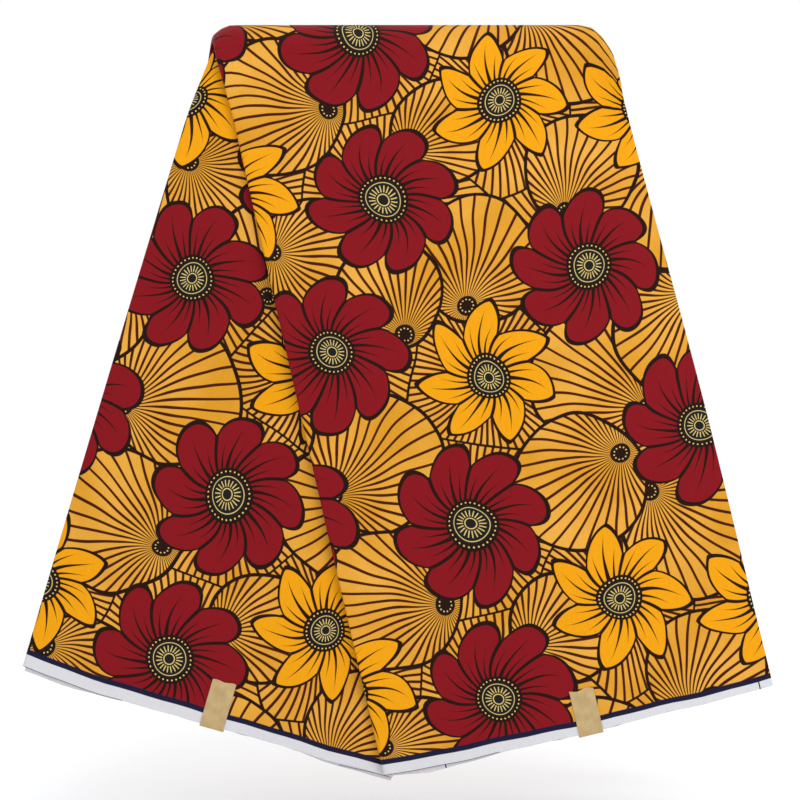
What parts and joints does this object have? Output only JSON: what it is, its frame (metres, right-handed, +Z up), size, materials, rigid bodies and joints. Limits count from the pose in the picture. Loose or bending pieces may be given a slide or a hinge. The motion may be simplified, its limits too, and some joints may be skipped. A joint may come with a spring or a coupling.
{
  "type": "folded printed cotton fabric",
  "caption": "Length of wax print cotton folded into flat packets that hang half and half over a short rail, fanned out to the left and right, with the selvedges as hems.",
  "frame": {"origin": "middle of the axis of the rail that the cloth hangs over", "axes": "+X along the rail, to the right as seen from the front; the front faces -Y; +Z up"},
  "size_m": [0.5868, 0.1351, 0.6036],
  "materials": {
    "rail_wood": "plain pale wood",
    "printed_cloth": "printed cotton, faintly glazed",
    "inner_cloth": "edges of folded printed cotton",
    "tape_paper": "matte brown paper tape"
  },
  "bodies": {
    "root": {"rail": "rail_wood", "left_inner_plies": "inner_cloth", "left_face_ply": "printed_cloth", "left_hem_tape": "tape_paper", "right_inner_plies": "inner_cloth", "right_face_ply": "printed_cloth", "right_hem_tape": "tape_paper"}
  },
  "joints": []
}
